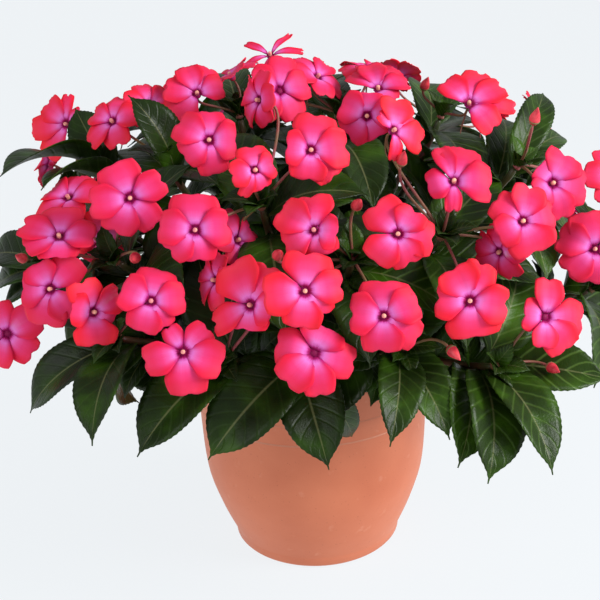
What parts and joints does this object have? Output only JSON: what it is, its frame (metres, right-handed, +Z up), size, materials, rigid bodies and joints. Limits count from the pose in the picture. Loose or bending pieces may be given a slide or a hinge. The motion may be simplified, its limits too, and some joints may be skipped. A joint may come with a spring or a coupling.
{
  "type": "potted new guinea impatiens",
  "caption": "New Guinea impatiens in a terracotta-coloured plastic pot: a round crown of dark pointed leaves under flat five-petalled coral pink flowers with a violet eye.",
  "frame": {"origin": "centre of the pot's flat base, where it rests", "axes": "+Z up along the pot's axis; -Y is the front, the side that the picture shows; +X is the picture's right"},
  "size_m": [0.623, 0.557, 0.5137],
  "materials": {
    "pot_plastic": "injection-moulded terracotta-coloured plastic, smooth and slightly satin",
    "potting_soil": "moist peaty potting soil, crumbly and matt",
    "leaf_green": "living leaf, dark green with a waxy gloss and a paler midrib",
    "petal_pink": "thin living petal, coral red at the edge and lilac towards a violet eye"
  },
  "bodies": {
    "root": {"flower_spray_01": "petal_pink", "flower_spray_02": "petal_pink", "flower_spray_03": "petal_pink", "flower_spray_04": "petal_pink", "flower_spray_05": "petal_pink", "flower_spray_06": "petal_pink", "flower_spray_08": "petal_pink", "flower_spray_09": "petal_pink", "flower_spray_10": "petal_pink", "flower_spray_11": "petal_pink", "flower_spray_12": "petal_pink", "flower_spray_13": "petal_pink", "flower_spray_14": "petal_pink", "flower_spray_15": "petal_pink", "flower_spray_16": "petal_pink", "flower_spray_17": "petal_pink", "flower_spray_18": "petal_pink", "flower_spray_19": "petal_pink", "flower_spray_20": "petal_pink", "flower_spray_21": "petal_pink", "flower_spray_22": "petal_pink", "flower_spray_23": "petal_pink", "flower_spray_24": "petal_pink", "flower_spray_25": "petal_pink", "flower_spray_26": "petal_pink", "flower_spray_27": "petal_pink", "leafy_stem_01": "leaf_green", "leafy_stem_02": "leaf_green", "leafy_stem_03": "leaf_green", "leafy_stem_04": "leaf_green", "leafy_stem_05": "leaf_green", "leafy_stem_06": "leaf_green", "leafy_stem_07": "leaf_green", "leafy_stem_08": "leaf_green", "leafy_stem_09": "leaf_green", "leafy_stem_10": "leaf_green", "leafy_stem_11": "leaf_green", "leafy_stem_12": "leaf_green", "leafy_stem_13": "leaf_green", "leafy_stem_14": "leaf_green", "leafy_stem_15": "leaf_green", "leafy_stem_16": "leaf_green", "leafy_stem_17": "leaf_green", "leafy_stem_18": "leaf_green", "leafy_stem_19": "leaf_green", "leafy_stem_20": "leaf_green", "leafy_stem_21": "leaf_green", "leafy_stem_22": "leaf_green", "leafy_stem_23": "leaf_green", "leafy_stem_24": "leaf_green", "leafy_stem_25": "leaf_green", "leafy_stem_26": "leaf_green", "leafy_stem_27": "leaf_green", "pot": "pot_plastic", "potting_soil": "potting_soil"}
  },
  "joints": []
}
